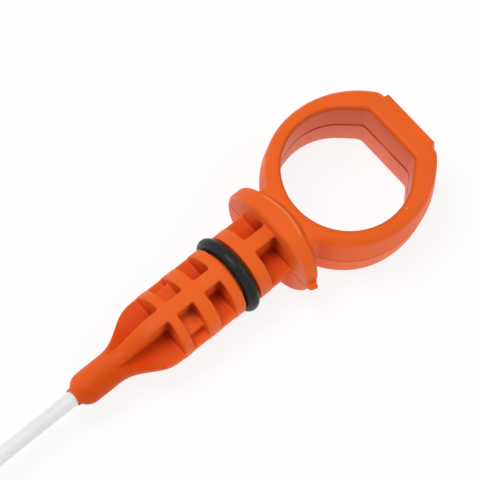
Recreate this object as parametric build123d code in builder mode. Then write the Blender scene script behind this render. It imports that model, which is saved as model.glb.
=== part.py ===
from build123d import *

import os
from math import cos, radians, sin, sqrt

# Engine oil dipstick: an orange moulded handle, its seal and a nylon rod.
# The origin is on the plug's axis, in the face of the flange that stops on the tube.
# X runs along the plug towards the finger ring, and Z is the way the mould opens.

os.makedirs("parts", exist_ok=True)

# Finger ring, at the parting plane
ring_centre = 20.5
hole_radius = 12.95
hole_flat = 11.85
hole_shoulder = 48.0
hole_draft = 1.2
hole_bevel = 0.4
hole_corner_rounding = 2.0
ring_wall = 3.75
ring_end_wall = 5.55
shoulder_radius = 20.9
shoulder_start = 100.0
ring_depth = 15.0
ring_draft = 5.0
ring_rounding = 2.0
ring_corner_rounding = 3.0

# Neck between the ring and the flange
neck_half_width = 8.4
neck_rounding = 1.5

# Pad on the far end of the ring
pad_half_width = 7.5
pad_height = 0.7
pad_rounding = 0.7

# Stop flange
flange_half_width = 11.8
flange_end_radius = 11.1
flange_flat = 10.3
flange_rim = 2.9
flange_dome = 4.2
flange_bevel = 0.6
flange_corner = 1.5

# Torn gate on the flange's rim, at the parting plane
gate_start = 0.2
gate_width = 2.3
gate_reach = 1.5
gate_thickness = 1.5

# Plug, with its stations measured from the stop face towards the nose
plug_radius = 7.6
spine_width = 3.3
web_thickness = 1.8
pocket_draft = 1.0
second_collar = (5.1, 8.2)
first_collar = (12.0, 14.4)
second_rib = (18.3, 21.4)
third_rib = (25.4, 27.6)
anchor_half_width = 5.4
anchor_half_height = 3.2
anchor_bite = 0.5

# Nose
nose_radius = 3.4
nose_end = 49.7
lip_reach = 0.1
lip_width = 0.35
flash_length = 0.9
flash_width = 0.4
flash_thickness = 0.2
flare_start = 38.25
flare_end = 31.2
flare_rounding = 9.0
run_out_start = 33.0
run_out_radius = 14.0

# Seal and its groove
groove_radius = 5.8
seal_section = 2.8
seal_clearance = 0.02

# Rod
rod_diameter = 3.1
rod_length = 340.0
rod_grip = 26.0
tip_rounding = 1.2
mark_depth = 0.3
mark_width = 1.2
low_mark = 12.0
high_mark = 32.0

# Worked out from the above
half_depth = ring_depth / 2
half_web = web_thickness / 2
half_spine = spine_width / 2
ring_radius = hole_radius + ring_wall
ring_flat = hole_flat + ring_end_wall
pad_reach = ring_flat + pad_height
rod_radius = rod_diameter / 2
flash_root = rod_radius + lip_width / 2
groove_middle = -(first_collar[0] + second_collar[1]) / 2
ring_plane = Plane(origin=(ring_centre, 0, 0))
above_all = 2 * flange_half_width

# Outline of the finger hole: a circle, two straight shoulders and a flat
touch = Vector(hole_radius, 0).rotate(Axis.Z, hole_shoulder)
hole_corner = (hole_radius - hole_flat * cos(radians(hole_shoulder))) / sin(radians(hole_shoulder))
with BuildSketch(ring_plane) as hole_outline:
    with BuildLine():
        ThreePointArc((touch.X, touch.Y), (-hole_radius, 0), (touch.X, -touch.Y))
        Polyline(
            (touch.X, -touch.Y),
            (hole_flat, -hole_corner),
            (hole_flat, hole_corner),
            (touch.X, touch.Y),
        )
    make_face()
    fillet(hole_outline.vertices().group_by(Axis.X)[-1], hole_corner_rounding)

# Outline of the ring: a circle that runs on into two flatter shoulders, cut off by a flat, with
# a neck that ends inside the flange
neck_end = flange_rim / 4
swing = Vector(ring_radius, 0).rotate(Axis.Z, shoulder_start)
shoulder_centre = Vector(ring_radius - shoulder_radius, 0).rotate(Axis.Z, shoulder_start)
ring_corner = shoulder_centre.Y + sqrt(shoulder_radius**2 - (ring_flat - shoulder_centre.X) ** 2)
with BuildSketch(ring_plane) as ring_outline:
    with BuildLine():
        ThreePointArc((swing.X, swing.Y), (-ring_radius, 0), (swing.X, -swing.Y))
        RadiusArc((swing.X, swing.Y), (ring_flat, ring_corner), shoulder_radius)
        Line((ring_flat, ring_corner), (ring_flat, -ring_corner))
        RadiusArc((ring_flat, -ring_corner), (swing.X, -swing.Y), shoulder_radius)
    make_face()
    fillet(ring_outline.vertices().group_by(Axis.X)[-1], ring_corner_rounding)
    with Locations((neck_end - ring_centre, 0)):
        Rectangle(ring_centre - neck_end, 2 * neck_half_width, align=(Align.MIN, Align.CENTER))
    neck_corners = ring_outline.vertices().filter_by_position(Axis.X, -ring_centre, -hole_radius)
    fillet(neck_corners, neck_rounding)

# Upper half of the ring, drafted away from the parting plane
with BuildPart() as ring:
    extrude(ring_outline.sketch, amount=half_depth, taper=ring_draft)
    fillet(ring.faces().sort_by(Axis.Z)[-1].edges(), ring_rounding)
    extrude(hole_outline.sketch, amount=ring_depth, taper=-hole_draft, mode=Mode.SUBTRACT)
    hole_rim = ring.faces().sort_by(Axis.Z)[-1].inner_wires()[0].edges()
    chamfer(hole_rim, hole_bevel)

# Upper half of the pad that stands proud of the ring's far end
pad_root = (hole_flat + ring_flat) / 2
with BuildPart() as pad:
    with BuildSketch(ring_plane):
        with Locations(((pad_root + pad_reach) / 2, 0)):
            Rectangle(pad_reach - pad_root, 2 * pad_half_width)
    extrude(amount=half_depth, taper=ring_draft)
    pad_rim = pad.faces().sort_by(Axis.Z)[-1].edges().sort_by(Axis.X)[1:]
    fillet(pad_rim, pad_rounding)

# Stop flange: a broad disc with a flat above and below, and a domed face towards the ring
dome_radius = (flange_half_width**2 + flange_dome**2) / (2 * flange_dome)
dome_top = flange_rim + flange_dome
with BuildPart() as flange:
    with BuildSketch(Plane.YZ):
        SlotCenterToCenter(2 * (flange_half_width - flange_end_radius), 2 * flange_end_radius)
        Rectangle(2 * flange_half_width, 2 * flange_flat, mode=Mode.INTERSECT)
        fillet(vertices(), flange_corner)
    extrude(amount=dome_top)
    with Locations((dome_top - dome_radius, 0, 0)):
        Sphere(dome_radius, mode=Mode.INTERSECT)
    chamfer(flange.faces().sort_by(Axis.X)[0].edges(), flange_bevel)

# Gate left on the flange's rim, torn off along a ragged edge: shares of its width and reach
torn_edge = ((0, -1), (0, 0.35), (0.2, 0.75), (0.7, 1), (0.75, 0.6), (1, 0.15), (1, -1))
with BuildPart() as gate:
    with BuildSketch(Plane.XY):
        with BuildLine():
            Polyline(
                *(
                    (gate_start + along * gate_width, -flange_half_width - out * gate_reach)
                    for along, out in torn_edge
                ),
                close=True,
            )
        make_face()
    extrude(amount=gate_thickness / 2)

# Pocket between the spine and the nose: drafted walls, and a floor that curves up to run out
pocket_end = flare_start + nose_radius
with BuildPart() as nose_pocket:
    with BuildSketch(Plane.XY.offset(half_web)):
        with Locations((-(third_rib[1] + pocket_end) / 2, half_spine + plug_radius / 2)):
            Rectangle(pocket_end - third_rib[1], plug_radius)
    extrude(amount=plug_radius, taper=-pocket_draft)
    with BuildSketch(Plane.XZ):
        with Locations((-run_out_start, half_web + run_out_radius)):
            Circle(run_out_radius)
        with Locations((-run_out_start, half_web)):
            Rectangle(above_all, 2 * run_out_radius, align=(Align.MIN, Align.MIN))
    extrude(amount=above_all, both=True, mode=Mode.INTERSECT)

# The handle: plug and nose in the round, pockets open to the mould, then ring and flange
with BuildPart() as handle:
    with BuildSketch(Plane.XY):
        with BuildLine():
            tip = CenterArc((nose_radius - nose_end, 0), nose_radius, 180, -90)
            flare = FilletPolyline(
                tip @ 1,
                (-flare_start, nose_radius),
                (-flare_end, plug_radius),
                (-first_collar[0], plug_radius),
                radius=flare_rounding,
            )
            Polyline(
                flare @ 1,
                (-first_collar[0], groove_radius),
                (-second_collar[1], groove_radius),
                (-second_collar[1], plug_radius),
                (flange_rim / 2, plug_radius),
                (flange_rim / 2, 0),
                tip @ 0,
            )
        make_face()
    revolve(axis=Axis.X)
    with BuildSketch(Plane.XY.offset(half_web)):
        for front, back in (
            (0, second_collar[0]),
            (first_collar[1], second_rib[0]),
            (second_rib[1], third_rib[0]),
        ):
            with Locations((-(front + back) / 2, half_spine + plug_radius / 2)):
                Rectangle(back - front, plug_radius)
        mirror(about=Plane.XZ)
    extrude(amount=plug_radius, taper=-pocket_draft, mode=Mode.SUBTRACT)
    add(nose_pocket.part, mode=Mode.SUBTRACT)
    add(mirror(nose_pocket.part, about=Plane.XZ, mode=Mode.PRIVATE), mode=Mode.SUBTRACT)
    with BuildSketch(Plane.XY):
        with Locations((-(second_rib[1] + third_rib[0]) / 2, 0)):
            Rectangle(third_rib[0] - second_rib[1] + 2 * anchor_bite, 2 * anchor_half_width)
    extrude(amount=anchor_half_height, taper=pocket_draft)
    split(bisect_by=Plane.XY, keep=Keep.TOP)
    add(ring.part)
    add(pad.part)
    split(bisect_by=Plane.XY, keep=Keep.TOP)
    add(flange.part)
    add(gate.part)
    split(bisect_by=Plane.XY, keep=Keep.TOP)
    mirror(about=Plane.XY)
    with BuildSketch(Plane.YZ.offset(-nose_end - lip_reach)):
        Circle(rod_radius + lip_width)
    extrude(amount=nose_radius)
    with BuildSketch(Plane.XY):
        with BuildLine():
            Polyline(
                (lip_width - nose_end, flash_root),
                (-nose_end - flash_length, flash_root),
                (lip_width - nose_end, flash_root + flash_width),
                close=True,
            )
        make_face()
    extrude(amount=flash_thickness / 2, both=True)
    with BuildSketch(Plane.YZ.offset(-nose_end - lip_reach)):
        Circle(rod_radius)
    extrude(amount=rod_grip + lip_reach, mode=Mode.SUBTRACT)

# The seal: a ring of round section on the groove's floor
with BuildPart() as o_ring:
    with BuildSketch(Plane.XY):
        with Locations((groove_middle, groove_radius + seal_clearance + seal_section / 2)):
            Circle(seal_section / 2)
    revolve(axis=Axis.X)

# The rod: plain nylon, held by the nose, with two level marks near its rounded end
rod_top = -nose_end + rod_grip
with BuildPart() as rod:
    with BuildSketch(Plane.XY):
        with Locations((rod_top, 0)):
            Rectangle(rod_length, rod_radius, align=(Align.MAX, Align.MIN))
        fillet(vertices().group_by(Axis.X)[0].sort_by(Axis.Y)[-1], tip_rounding)
        for mark in (low_mark, high_mark):
            with Locations((rod_top - rod_length + mark, rod_radius)):
                Rectangle(mark_width, 2 * mark_depth, mode=Mode.SUBTRACT)
    revolve(axis=Axis.X)

for piece, name in ((handle, "handle"), (o_ring, "o_ring"), (rod, "rod")):
    piece.part.label = name
    export_step(piece.part, f"parts/{name}.step")
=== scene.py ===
# %% [markdown]
# # An engine oil dipstick, dressed for the studio
# The model comes in as a fixed frame: an orange moulded handle, a rubber seal and a nylon rod, each
# in metres and already in its place. This lesson gives every surface its finish, sets the camera
# where the photograph was taken from, and lights the part as in a white studio tent.

# %% Load the frame
from math import cos, radians, sin

import bpy
import numpy as np
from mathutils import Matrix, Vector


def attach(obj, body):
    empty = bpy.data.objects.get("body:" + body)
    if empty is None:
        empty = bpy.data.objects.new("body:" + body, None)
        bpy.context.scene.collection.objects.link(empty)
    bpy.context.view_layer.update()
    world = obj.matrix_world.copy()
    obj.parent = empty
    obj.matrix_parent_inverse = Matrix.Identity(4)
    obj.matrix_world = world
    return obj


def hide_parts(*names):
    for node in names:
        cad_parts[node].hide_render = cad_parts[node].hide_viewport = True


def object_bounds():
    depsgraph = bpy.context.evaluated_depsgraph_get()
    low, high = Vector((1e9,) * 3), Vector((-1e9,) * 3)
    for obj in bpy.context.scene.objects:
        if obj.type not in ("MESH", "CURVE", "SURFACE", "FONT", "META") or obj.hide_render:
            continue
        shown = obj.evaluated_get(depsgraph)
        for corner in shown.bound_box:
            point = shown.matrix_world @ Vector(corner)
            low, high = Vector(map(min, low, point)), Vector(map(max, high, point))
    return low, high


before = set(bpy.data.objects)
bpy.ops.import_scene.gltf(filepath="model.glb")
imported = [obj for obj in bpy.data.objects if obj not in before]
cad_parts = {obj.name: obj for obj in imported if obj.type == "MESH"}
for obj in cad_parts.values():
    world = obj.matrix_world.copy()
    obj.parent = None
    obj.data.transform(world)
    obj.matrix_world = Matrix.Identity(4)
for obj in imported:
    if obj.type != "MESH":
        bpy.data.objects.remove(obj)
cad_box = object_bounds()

MM = 0.001
scene = bpy.context.scene
print("nodes:", sorted(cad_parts))
print("CAD box in mm:", [[round(x / MM, 1) for x in corner] for corner in cad_box])

# %% [markdown]
# ## The camera
# The part was photographed from far off with a long lens, looking down on it from the side of the
# rod, so its lines hardly converge. The place and the angles were worked out from edges of the plug
# and the ring. They gave the focal length in pixels, and the sensor's width over the frame's pixels
# turns that into millimetres.

# %% Camera
FRAME_PIXELS = 480
FOCAL_PIXELS = 3000
SENSOR_WIDTH = 36.0
EYE = (-185.918 * MM, -134.931 * MM, 543.842 * MM)
TURN_DEGREES = (22.4193, -4.6582, -41.5858)
CLIP_START = 10 * MM

camera = bpy.data.objects.new("camera", bpy.data.cameras.new("camera"))
camera.data.sensor_width = SENSOR_WIDTH
camera.data.lens = SENSOR_WIDTH * FOCAL_PIXELS / FRAME_PIXELS
camera.data.clip_start = CLIP_START
camera.location = EYE
camera.rotation_euler = [radians(angle) for angle in TURN_DEGREES]
scene.collection.objects.link(camera)
scene.camera = camera
print("lens:", camera.data.lens, "mm")

# %% [markdown]
# ## Shader maths as Python
# A finish is a chain of small sums on numbers, such as how far a point is from the parting plane.
# Drawn as boxes and wires such sums are hard to read, so one small class wraps an output socket and
# lets Python's own operators add the Math nodes. Any other node comes from its one method, node().

# %% A socket that can be added, multiplied and compared
class Signal:
    """An output socket of a node tree. Operators on it add Math nodes to that tree."""

    def __init__(self, tree, socket):
        self.tree = tree
        self.socket = socket

    def node(self, kind, settings, sockets, output=0):
        """A new node: its settings first, then a value or a link for each named or numbered socket."""
        made = self.tree.nodes.new(kind)
        for name, value in settings.items():
            setattr(made, name, value)
        for name, value in sockets.items():
            if isinstance(value, Signal):
                self.tree.links.new(value.socket, made.inputs[name])
            else:
                made.inputs[name].default_value = value
        return Signal(self.tree, made.outputs[output])

    def math(self, operation, *values):
        """A Math node of that operation on these values, in order."""
        return self.node("ShaderNodeMath", {"operation": operation}, dict(enumerate(values)))

    def __add__(self, other):
        return self.math("ADD", self, other)

    def __sub__(self, other):
        return self.math("SUBTRACT", self, other)

    def __rsub__(self, other):
        return self.math("SUBTRACT", other, self)

    def __mul__(self, other):
        return self.math("MULTIPLY", self, other)

    def __truediv__(self, other):
        return self.math("DIVIDE", self, other)

    def __pow__(self, other):
        return self.math("POWER", self, other)

    def __abs__(self):
        return self.math("ABSOLUTE", self)

    def __gt__(self, other):
        return self.math("GREATER_THAN", self, other)

    def __lt__(self, other):
        return self.math("LESS_THAN", self, other)

    __radd__ = __add__
    __rmul__ = __mul__

    def larger(self, other):
        """The larger of the two values."""
        return self.math("MAXIMUM", self, other)

    def between(self, low, high):
        """0 at low, 1 at high and an S-shaped rise between them. With low above high it falls."""
        settings = {"interpolation_type": "SMOOTHSTEP"}
        sockets = {"Value": self, "From Min": low, "From Max": high}
        return self.node("ShaderNodeMapRange", settings, sockets)

    def ranging(self, first, second):
        """The first value where this one is 0 and the second where it is 1, in a straight line."""
        return first + (second - first) * self


print("a Signal has", sum(callable(member) for member in vars(Signal).values()), "operators and methods")

# %% [markdown]
# ## Helpers for every finish
# The finishes share a few steps: noise, a mix of two colours, a pattern drawn out along an axis, and a
# bump that bends the light as a real height would. Each is a short function round one or two nodes.

# %% Patterns and colours
def noise(place, size, detail=2.0):
    """Soft noise from 0 to 1 whose lumps are about size across, in metres."""
    sockets = {"Vector": place, "Scale": 1 / size, "Detail": detail}
    return place.node("ShaderNodeTexNoise", {}, sockets)


def mix(share, first, second):
    """The first colour where share is 0, the second where it is 1. A Mix node has sockets for each kind of
    value: those for colours are inputs 6 and 7 and output 2."""
    sockets = {0: share, 6: first, 7: second}
    return share.node("ShaderNodeMix", {"data_type": "RGBA"}, sockets, 2)


def stretched(place, scale):
    """Coordinates multiplied axis by axis: a pattern on them is drawn out by a small scale along an axis and
    pressed together by a large one."""
    return place.node("ShaderNodeVectorMath", {"operation": "MULTIPLY"}, {0: place, 1: scale})


def parts_of(place):
    """The X, Y and Z of a vector as three numbers."""
    split = place.node("ShaderNodeSeparateXYZ", {}, {0: place})
    return [Signal(place.tree, socket) for socket in split.socket.node.outputs]


print("patterns and colours:", [step.__name__ for step in (noise, mix, stretched, parts_of)])


# %% Materials
def start_finish(name, **constants):
    """A new material, its Principled shader with these constants set, and Object coordinates."""
    material = bpy.data.materials.new(name)
    material.use_nodes = True
    tree = material.node_tree
    shader = tree.nodes["Principled BSDF"]
    for socket, value in constants.items():
        shader.inputs[socket.replace("_", " ")].default_value = value
    coordinates = tree.nodes.new("ShaderNodeTexCoord")
    return material, shader, Signal(tree, coordinates.outputs["Object"])


def connect(signal, shader, socket):
    """Feeds a signal into one socket of the shader."""
    signal.tree.links.new(signal.socket, shader.inputs[socket])


def emboss(height, shader, strength=1.0, distance=1.0):
    """Bends the shader's normal as a surface of that height would. The distance is what a height of 1 stands
    for, in metres, and a strength below 1 makes the effect fainter."""
    sockets = {"Strength": strength, "Distance": distance, "Height": height}
    connect(height.node("ShaderNodeBump", {}, sockets), shader, "Normal")


def wear(piece, material):
    """Gives a piece this material in place of the plain one that it was packed with."""
    piece.data.materials.clear()
    piece.data.materials.append(material)


print("materials:", [step.__name__ for step in (start_finish, connect, emboss, wear)])

# %% [markdown]
# ## The orange moulding
# The handle is one injection moulding in a dense orange. Up close such a surface is satin rather than
# smooth: the polished tool leaves a very fine grain, and the colour drifts a little where the melt
# flowed. Towards the nose the colour deepens as painted shade, a little on the +Y side and much more on
# the -Y side. Deep in the plug's pockets a painted shade turns it a deep red, as where light has bounced
# from orange to orange, and their corners hold a darker painted shade. The two halves of the mould meet
# in the plane Z = 0 and leave a thin dark line round the ring and the flange. The wall of the finger hole
# is hazy where it was drawn off the tool; that haze, and the pale ends of the stop face, are partly a
# painted sheen, and the haze is heavier in the hole's lower half as painted shade. The flange's edge is
# pale with wear and a painted highlight.
# A picture could be wrapped over all this, but sums on Object coordinates need no unwrapping and stay
# sharp at any distance.
#
# Each mark gets a mask, a number that says how strong the mark is at a point. The masks use some of the
# model's sizes, which are given again here because the frame holds only meshes. A fade is a pair of
# values: the mask is 0 at the first and 1 at the second.

# %% The finger hole
RING_CENTRE = 20.5 * MM
HOLE_RADIUS = 12.95 * MM
HOLE_FLAT = 11.85 * MM
HOLE_SHOULDER = radians(48)


def beyond_hole(x, y):
    """How far a point of the ring lies outside the finger hole: from the circle on the near side, and on
    the far side the larger of the distances from the flat and from the nearer shoulder."""
    along = x - RING_CENTRE
    circle = (along ** 2 + y ** 2) ** 0.5 - HOLE_RADIUS
    shoulder = along * cos(HOLE_SHOULDER) + abs(y) * sin(HOLE_SHOULDER) - HOLE_RADIUS
    far = along > HOLE_RADIUS * cos(HOLE_SHOULDER)
    return far * shoulder.larger(along - HOLE_FLAT) + (1 - far) * circle


print("finger hole:", round(2 * HOLE_RADIUS / MM, 1), "mm wide")

# %% The parting line
LINE_HALF_WIDTH = 0.4 * MM
LINE_EXTRA_IN_HOLE = 0.2 * MM
LINE_FADE = (1.0, 0.3)
HOLE_FADE = (2.5 * MM, 1.5 * MM)
ABOVE_PLUG_FADE = (-0.8 * MM, -0.4 * MM)
PATCH_SIZE = 5 * MM
PATCH_FADE = (0.25, 0.6)


def parting_line(place, x, z, outside):
    """1 on the line that the mould's halves leave at Z = 0 on the ring and the flange. It is patchy, and
    in the finger hole it is wider and twice as strong."""
    in_hole = outside.between(*HOLE_FADE)
    half_width = LINE_HALF_WIDTH + LINE_EXTRA_IN_HOLE * in_hole
    line = (abs(z) / half_width).between(*LINE_FADE) * x.between(*ABOVE_PLUG_FADE)
    patches = noise(place, PATCH_SIZE).between(*PATCH_FADE)
    return line * in_hole.ranging(0.5, 1) * patches.ranging(0.5, 1)


print("parting line:", round(2 * LINE_HALF_WIDTH / MM, 1), "mm wide on the outside")

# %% Painted shade in the plug's pockets
PLUG_RADIUS = 7.6 * MM
POCKET_ENDS = (0.0, -14.4 * MM, -21.4 * MM, -27.6 * MM)
SUNK_FADE = (0.15 * MM, 1.0 * MM)
WEB_FADE = (4.0 * MM, 1.0 * MM)
UNDER_FLANGE_FADE = (0.5 * MM, 0.0)
RUN_OUT_FADE = (-42 * MM, -34 * MM)
OPEN_SIDE_FADE = (6.5 * MM, 2.5 * MM)


def below_crown(y, z):
    """How deep a point lies under the plug's round outside."""
    return PLUG_RADIUS - (y ** 2 + z ** 2) ** 0.5


def pocket_floor_shade(x, y, z):
    """Painted shade: 1 low in the plug's pockets, falling to a half at their open sides."""
    sunk = below_crown(y, z).between(*SUNK_FADE) * abs(z).between(*WEB_FADE)
    on_plug = x.between(*UNDER_FLANGE_FADE) * x.between(*RUN_OUT_FADE)
    return sunk * on_plug * abs(y).between(*OPEN_SIDE_FADE).ranging(0.5, 1)


print("pocket ends in mm:", [round(end / MM, 1) for end in POCKET_ENDS])

# %% Painted shade in the pockets' corners
CORNER_REACH = 2.0 * MM
CORNER_OVERLAP = 0.2 * MM
CORNER_SUNK_FADE = (0.2 * MM, 0.9 * MM)
SPINE_FADE = (5.5 * MM, 2.0 * MM)
SHADED_SIDE_FADE = (0.5 * MM, -0.5 * MM)
FLANGE_POCKET_FADE = (-4 * MM, -3 * MM)


def pocket_end(x, end):
    """1 at a pocket's end towards the ring, and from there 0 after CORNER_REACH."""
    return x.between(end - CORNER_REACH, end) * (x < end + CORNER_OVERLAP)


def pocket_corner_shade(x, y, z):
    """Painted shade: 1 where a pocket's end towards the ring meets the spine. On the +Y side it is a half,
    but not in the pocket next to the flange."""
    ends = sum(pocket_end(x, end) for end in POCKET_ENDS)
    one_sided = y.between(*SHADED_SIDE_FADE).ranging(0.5, 1)
    by_spine = abs(y).between(*SPINE_FADE) * one_sided.larger(x.between(*FLANGE_POCKET_FADE))
    return ends * by_spine * below_crown(y, z).between(*CORNER_SUNK_FADE)


print("dark corners reach", round(CORNER_REACH / MM, 1), "mm")

# %% The flange's worn edge and its painted highlight
FLANGE_FLAT = 10.3 * MM
DOME_TOP = 7.1 * MM
DOME_RADIUS = 18.68 * MM
FLAT_FADE = (FLANGE_FLAT - 0.55 * MM, FLANGE_FLAT - 0.15 * MM)
DOME_FADE = (-0.55 * MM, -0.2 * MM)


def flange_wear_and_highlight(x, y, z):
    """Pale wear and a painted highlight: 1 along the edge where a flat of the flange meets its dome. The
    dome is a ball of DOME_RADIUS, so its height over a point is DOME_TOP less the ball's drop there."""
    out = y ** 2 + z ** 2
    dome = (DOME_RADIUS ** 2 - out).larger(0) ** 0.5 + (DOME_TOP - DOME_RADIUS)
    return abs(z).between(*FLAT_FADE) * (x - dome).between(*DOME_FADE)


print("worn edges at Z in mm:", [round(side * FLANGE_FLAT / MM, 1) for side in (-1, 1)])

# %% The nose's painted shade, and haze with a painted sheen
NOSE_FADE = (-26 * MM, -40 * MM)
NOSE_SHADE_SIDE_FADE = (2.0 * MM, -2.0 * MM)
NOSE_SHADE_SHARES = (0.2, 0.8)
WALL_FADE = (0.5 * MM, 0.3 * MM)
RIM_TO_WALL_FADE = (7.2 * MM, 6.4 * MM)
LOWER_HALF_FADE = (0.0, -0.3 * MM)
WALL_HAZE_AND_SHEEN = (0.15, 0.65)
# painted shade in the lower half of the finger hole's wall
LOWER_HALF_SHADE = 0.35
STOP_FACE_FADE = (0.5 * MM, 0.2 * MM)
STOP_ENDS_FADE = (7.0 * MM, 9.5 * MM)
STOP_HAZE_AND_SHEEN = (0.1, 0.7)


def nose_shade(x, y):
    """Painted shade that grows along the plug to the nose, where it is 0.2 on the +Y side and 0.8 on the -Y
    side, the side in shade.
    """
    return x.between(*NOSE_FADE) * y.between(*NOSE_SHADE_SIDE_FADE).ranging(*NOSE_SHADE_SHARES)


def haze_sheen_and_shade(x, y, z, outside, lumps):
    """A pale bloom that is uneven by the lumps and partly a painted sheen of the white tent, on the finger
    hole's wall, where it is denser in the lower half as painted shade, and on the two ends of the stop face."""
    wall = outside.between(*WALL_FADE) * abs(z).between(*RIM_TO_WALL_FADE)
    on_wall = lumps.ranging(*WALL_HAZE_AND_SHEEN) + LOWER_HALF_SHADE * z.between(*LOWER_HALF_FADE)
    stop_ends = x.between(*STOP_FACE_FADE) * abs(y).between(*STOP_ENDS_FADE)
    return wall * on_wall + stop_ends * lumps.ranging(*STOP_HAZE_AND_SHEEN)


print("nose tone by side:", NOSE_SHADE_SHARES)

# %% Orange plastic: colours and sizes
ORANGE = (0.72, 0.111, 0.014, 1)
DEEPER_ORANGE = (0.68, 0.094, 0.010, 1)
# painted shade on the nose, most on the -Y side
NOSE_SHADE_TONE = (0.52, 0.047, 0.0004, 1)
# pale wear on the nicks; on the flange's edge, wear and a painted highlight
PALE_WEAR_AND_HIGHLIGHT_TONE = (0.80, 0.26, 0.10, 1)
# painted shade low in the pockets
POCKET_SHADE_RED = (0.59, 0.040, 0.0003, 1)
# painted shade in the pockets' corners
CORNER_SHADE = (0.24, 0.004, 0.0002, 1)
# haze that is partly a painted sheen, and painted shade in the hole's lower half
HAZE_SHEEN_AND_SHADE_TONE = (0.64, 0.20, 0.122, 1)
LINE_TONE = (0.32, 0.030, 0.004, 1)
DRIFT_SHARE = 0.6
NICK_SHARE = 0.6
EDGE_SHARES = (0.15, 0.75)
POCKET_SHADE_SHARE = 0.9
CORNER_SHADE_SHARE = 0.75
LINE_SHARE = 0.9

DRIFT_SIZE = 14 * MM
DRIFT_FADE = (0.3, 0.75)
NICK_SIZE = 1.1 * MM
NICK_FADE = (0.76, 0.82)
GRAIN_SIZE = 0.22 * MM
GRAIN_HEIGHT = 0.003 * MM
LUMP_SIZE = 1.6 * MM
LUMP_HEIGHT = 0.012 * MM
LINE_DEPTH = 0.06 * MM
RIM_WIDTH = 1.7 * MM
RIM_DROP = 0.42 * MM
RIM_FADE = (6.6 * MM, 6.9 * MM)
SATIN = (0.40, 0.46)
LINE_ROUGHNESS = 0.5
print("orange in linear light:", ORANGE[:3])


# %% Orange plastic
def orange_plastic():
    """Satin moulded plastic. Its colour is built up in layers: orange that drifts to a deeper orange, a
    deeper nose that is painted shade, pale nicks, the flange's pale edge of wear and a painted highlight,
    painted red shade in the pockets and darker painted shade in their corners, haze that is partly a painted
    sheen, and the parting line. Roughness is about 0.43, and more on the line. The bump is grain and lumps,
    less the line and a rim round the finger hole that falls off as a parabola."""
    material, shader, place = start_finish(
        "orange_plastic",
        IOR=1.47,
        Specular_IOR_Level=0.09,
        Subsurface_Weight=0.04,
        Subsurface_Radius=(1.0, 0.25, 0.06),
        Subsurface_Scale=0.8 * MM,
    )
    x, y, z = parts_of(place)
    outside = beyond_hole(x, y)
    line = parting_line(place, x, z, outside)
    grain = noise(place, GRAIN_SIZE)
    lumps = noise(place, LUMP_SIZE)
    drift = noise(place, DRIFT_SIZE, detail=3.0).between(*DRIFT_FADE)
    nicks = noise(place, NICK_SIZE, detail=1.0).between(*NICK_FADE)

    # Some layers are painted light: shade on the nose, in the pockets, in their corners and in the hole's
    # lower half, a highlight on the flange's edge and a sheen in the haze.
    layers = [
        (drift * DRIFT_SHARE, DEEPER_ORANGE),
        (nose_shade(x, y), NOSE_SHADE_TONE),
        (nicks * NICK_SHARE, PALE_WEAR_AND_HIGHLIGHT_TONE),
        (flange_wear_and_highlight(x, y, z) * lumps.ranging(*EDGE_SHARES), PALE_WEAR_AND_HIGHLIGHT_TONE),
        (pocket_floor_shade(x, y, z) * POCKET_SHADE_SHARE, POCKET_SHADE_RED),
        (pocket_corner_shade(x, y, z) * CORNER_SHADE_SHARE, CORNER_SHADE),
        (haze_sheen_and_shade(x, y, z, outside, lumps), HAZE_SHEEN_AND_SHADE_TONE),
        (line * LINE_SHARE, LINE_TONE),
    ]
    colour = ORANGE
    for share, tone in layers:
        colour = mix(share, colour, tone)
    connect(colour, shader, "Base Color")
    connect(lumps.ranging(*SATIN) + LINE_ROUGHNESS * line, shader, "Roughness")

    rim = (1 - outside / RIM_WIDTH).larger(0) ** 2 * abs(z).between(*RIM_FADE)
    emboss(GRAIN_HEIGHT * grain + LUMP_HEIGHT * lumps - LINE_DEPTH * line - RIM_DROP * rim, shader)
    return material


moulding_finish = orange_plastic()
print("finish:", moulding_finish.name, "with", len(moulding_finish.node_tree.nodes), "nodes")

# %% [markdown]
# ## Soft edges
# Many edges of the CAD model are sharp, and a moulding's edges are not: the tool's own edges are worn
# round. A bevel could round them, but it fails where edges run together, as they do in the plug. So a
# copy of the handle is softened by modifiers, and it stands in for the CAD node. The first one joins the
# model's loose faces, and the second wraps them in an even net of small squares. The third draws each
# corner of the net a little towards its neighbours, which rounds an edge and hardly changes a flat. The
# last joins faces again where the skin is flat.

# %% Soften a copy of the handle
JOIN_REACH = 0.001 * MM
NET_SIZE = 0.2 * MM
SOFTENING_ROUNDS = 3
SOFTENING_STEP = 0.5
FACES_KEPT = 0.2

moulding = bpy.data.objects.new("moulding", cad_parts["handle"].data.copy())
scene.collection.objects.link(moulding)
joined = moulding.modifiers.new("joined_faces", "WELD")
joined.merge_threshold = JOIN_REACH
net = moulding.modifiers.new("even_net", "REMESH")
net.mode = "VOXEL"
net.voxel_size = NET_SIZE
net.use_smooth_shade = True
soft = moulding.modifiers.new("soft_edges", "SMOOTH")
soft.factor = SOFTENING_STEP
soft.iterations = SOFTENING_ROUNDS
fewer = moulding.modifiers.new("fewer_faces", "DECIMATE")
fewer.ratio = FACES_KEPT

wear(moulding, moulding_finish)
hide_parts("handle")
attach(moulding, "root")
print("moulding is softened by:", [modifier.name for modifier in moulding.modifiers])

# %% [markdown]
# ## The seal
# The O-ring is black rubber with a film of oil from its packing. It reflects the tent as long grey
# streaks that run round the ring, and between them the rubber is dull. The streaks could be drawn one by
# one, but noise that is pressed together along the axis is already drawn out round it, and it gives such
# streaks when it drives the roughness. The same streaks also grey the colour a little, a painted sheen
# mixed in with real dust.

# %% Black rubber
RUBBER = (0.010, 0.012, 0.012, 1)
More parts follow.
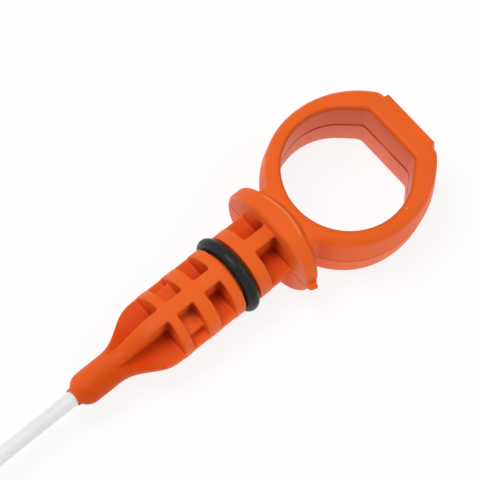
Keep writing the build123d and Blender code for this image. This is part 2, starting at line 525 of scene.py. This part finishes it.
# dust, and along the streaks a painted sheen
DUST_AND_SHEEN_RUBBER = (0.030, 0.034, 0.034, 1)
STREAK_SCALE = (6, 1, 1)
STREAK_SIZE = 2.5 * MM
STREAK_FADE = (0.3, 0.7)
STREAK_SHEEN_SHARE = 0.15
DUST_SIZE = 0.5 * MM
DUST_FADE = (0.62, 0.72)
DUST_SHARE = 0.5
RUBBER_GRAIN_SIZE = 0.16 * MM
RUBBER_GRAIN_HEIGHT = 0.05 * MM
RUBBER_GRAIN_STRENGTH = 0.15
OILED = (0.2, 0.5)


def black_rubber():
    """Oiled rubber: dust and a painted sheen along the streaks grey the colour, roughness is 0.2 to 0.5 by
    streaks round the ring, the bump is fine grain and dust.
    """
    material, shader, place = start_finish("black_rubber", IOR=1.5, Specular_IOR_Level=0.14)
    streaks = noise(stretched(place, STREAK_SCALE), STREAK_SIZE, detail=3.0).between(*STREAK_FADE)
    grain = noise(place, RUBBER_GRAIN_SIZE, detail=3.0)
    dust = noise(place, DUST_SIZE).between(*DUST_FADE)
    # the grey is real dust and, along the streaks, a painted sheen
    grey = dust * DUST_SHARE + streaks * STREAK_SHEEN_SHARE
    connect(mix(grey, RUBBER, DUST_AND_SHEEN_RUBBER), shader, "Base Color")
    connect(streaks.ranging(*OILED), shader, "Roughness")
    emboss(grain + dust * DUST_SHARE, shader, RUBBER_GRAIN_STRENGTH, RUBBER_GRAIN_HEIGHT)
    return material


wear(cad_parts["o_ring"], black_rubber())
print("o_ring wears black_rubber")

# %% [markdown]
# ## The rod
# The rod is natural nylon: milky white, with light passing a little way into it, so it has soft shading
# and no hard dark side. It was drawn through a die, which leaves faint lines along its length. Waves
# round the rod could stand for them, but they would be too even, so noise that is drawn out along X does.

# %% Natural nylon
NYLON = (0.71, 0.715, 0.71, 1)
GREYER_NYLON = (0.63, 0.635, 0.63, 1)
DIE_LINE_SCALE = (0.04, 1, 1)
DIE_LINE_SIZE = 0.5 * MM
DIE_LINE_SHARE = 0.4
DIE_LINE_HEIGHT = 0.05 * MM
DIE_LINE_STRENGTH = 0.1
CLOUD_SCALE = (0.3, 1, 1)
CLOUD_SIZE = 3 * MM
CLOUD_FADE = (0.35, 0.7)
CLOUD_SHARE = 0.4
MILKY = (0.30, 0.45)


def natural_nylon():
    """Milky plastic: nearly white with greyer lines along X, light scattered under the surface."""
    material, shader, place = start_finish(
        "natural_nylon",
        IOR=1.53,
        Subsurface_Weight=0.35,
        Subsurface_Radius=(1.0, 0.95, 0.85),
        Subsurface_Scale=1.2 * MM,
    )
    lines = noise(stretched(place, DIE_LINE_SCALE), DIE_LINE_SIZE, detail=3.0)
    clouds = noise(stretched(place, CLOUD_SCALE), CLOUD_SIZE).between(*CLOUD_FADE)
    grey = lines * DIE_LINE_SHARE + clouds * CLOUD_SHARE
    connect(mix(grey, NYLON, GREYER_NYLON), shader, "Base Color")
    connect(lines.ranging(*MILKY), shader, "Roughness")
    emboss(lines, shader, DIE_LINE_STRENGTH, DIE_LINE_HEIGHT)
    return material


wear(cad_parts["rod"], natural_nylon())
print("rod wears natural_nylon")

# %% [markdown]
# ## The floor
# A dipstick can't stand, so it lies on the lower edge of its flange and on the rod's tip. The part keeps
# its own straight frame, so here the floor leans by a little over a degree to meet both. In the
# photograph the ground is pure white and the shadow nearly burnt out. The floor is a pale sheet: what
# the camera sees of it is mostly white light, with a share of the real, shadowed sheet mixed in, and
# rays that carry light find it glowing, as a lit sheet in a bright tent does.

# %% A pale sheet
WHITE = (1, 1, 1, 1)
FLOOR_TONE = (0.86, 0.86, 0.86, 1)
SHADOW_SHARE = 0.14
FLOOR_GLOW = 0.75


def seen_directly(tree):
    """1 for rays from the camera, or mirrored or refracted ones, and 0 for rays that carry light."""
    path = tree.nodes.new("ShaderNodeLightPath")
    kinds = ("Camera", "Glossy", "Transmission")
    direct, mirrored, refracted = [Signal(tree, path.outputs[f"Is {kind} Ray"]) for kind in kinds]
    return direct.larger(mirrored).larger(refracted)


def pale_floor():
    """For the camera, white light with a share of a diffuse sheet; for light, that sheet and a glow."""
    material = bpy.data.materials.new("pale_floor")
    material.use_nodes = True
    tree = material.node_tree
    tree.nodes.clear()
    seen = seen_directly(tree)
    sheet = seen.node("ShaderNodeBsdfDiffuse", {}, {"Color": FLOOR_TONE})
    white = seen.node("ShaderNodeEmission", {}, {"Color": WHITE, "Strength": 1.0})
    glow = seen.node("ShaderNodeEmission", {}, {"Color": WHITE, "Strength": FLOOR_GLOW})
    lit = seen.node("ShaderNodeAddShader", {}, {0: sheet, 1: glow})
    faint = seen.node("ShaderNodeMixShader", {}, {0: 1 - SHADOW_SHARE, 1: sheet, 2: white})
    shown = seen.node("ShaderNodeMixShader", {}, {0: seen, 1: lit, 2: faint})
    output = tree.nodes.new("ShaderNodeOutputMaterial")
    tree.links.new(shown.socket, output.inputs["Surface"])
    return material


floor_finish = pale_floor()
print("finish:", floor_finish.name)

# %% Floor
FLOOR_REACH = 4.0
ROD_RADIUS = 1.55 * MM

tip, _, flange_bottom = cad_box[0]
fall = (flange_bottom + ROD_RADIUS) / -tip
corners = np.array([(-1, -1), (1, -1), (1, 1), (-1, 1)]) * FLOOR_REACH
floor = bpy.data.objects.new("floor", bpy.data.meshes.new("floor"))
floor.data.from_pydata([(x, y, flange_bottom + fall * x) for x, y in corners], [], [(0, 1, 2, 3)])
floor.data.materials.append(floor_finish)
scene.collection.objects.link(floor)
print("floor's Z under the stop face in mm:", round(flange_bottom / MM, 2), "slope along X:", round(fall, 4))

# %% [markdown]
# ## The light
# A white tent lights the part from everywhere, and a large lamp above it, with a weak one beside, gives
# the edges a little shape. The world is that tent: white where the camera or a reflection sees it, and
# dimmer as a lamp.

# %% World
TENT_LIGHT = 0.4


def white_tent():
    """The world: white at strength 1 to the camera and in reflections, a dimmer white as a lamp."""
    world = bpy.data.worlds.new("white_tent")
    world.use_nodes = True
    tree = world.node_tree
    tree.nodes.clear()
    strength = seen_directly(tree).ranging(TENT_LIGHT, 1)
    shown = strength.node("ShaderNodeBackground", {}, {"Color": WHITE, "Strength": strength})
    output = tree.nodes.new("ShaderNodeOutputWorld")
    tree.links.new(shown.socket, output.inputs["Surface"])
    return world


scene.world = white_tent()
scene.view_settings.view_transform = "Standard"
print("world:", scene.world.name)

# %% Lamps
STOP_FACE_CENTRE = (0.0, 0.0, 0.0)
LAMPS = {
    "top_lamp": {"place": (-0.2, 0.22, 0.85), "width": 0.45, "watts": 5.6},
    "side_lamp": {"place": (0.5, -0.35, 0.5), "width": 0.6, "watts": 1.5},
}


def soft_lamp(name, aim, place, width, watts):
    """A square lamp of that width at a place, turned so that it shines at the aim."""
    lamp = bpy.data.objects.new(name, bpy.data.lights.new(name, "AREA"))
    lamp.data.shape = "SQUARE"
    lamp.data.size = width
    lamp.data.energy = watts
    lamp.location = place
    way = np.subtract(aim, place)
    pitch = np.arctan2(np.hypot(way[0], way[1]), -way[2])
    lamp.rotation_euler = (pitch, 0, np.arctan2(-way[0], way[1]))
    scene.collection.objects.link(lamp)


for lamp_name, lamp_values in LAMPS.items():
    soft_lamp(lamp_name, STOP_FACE_CENTRE, **lamp_values)

# %% [markdown] ## Closing
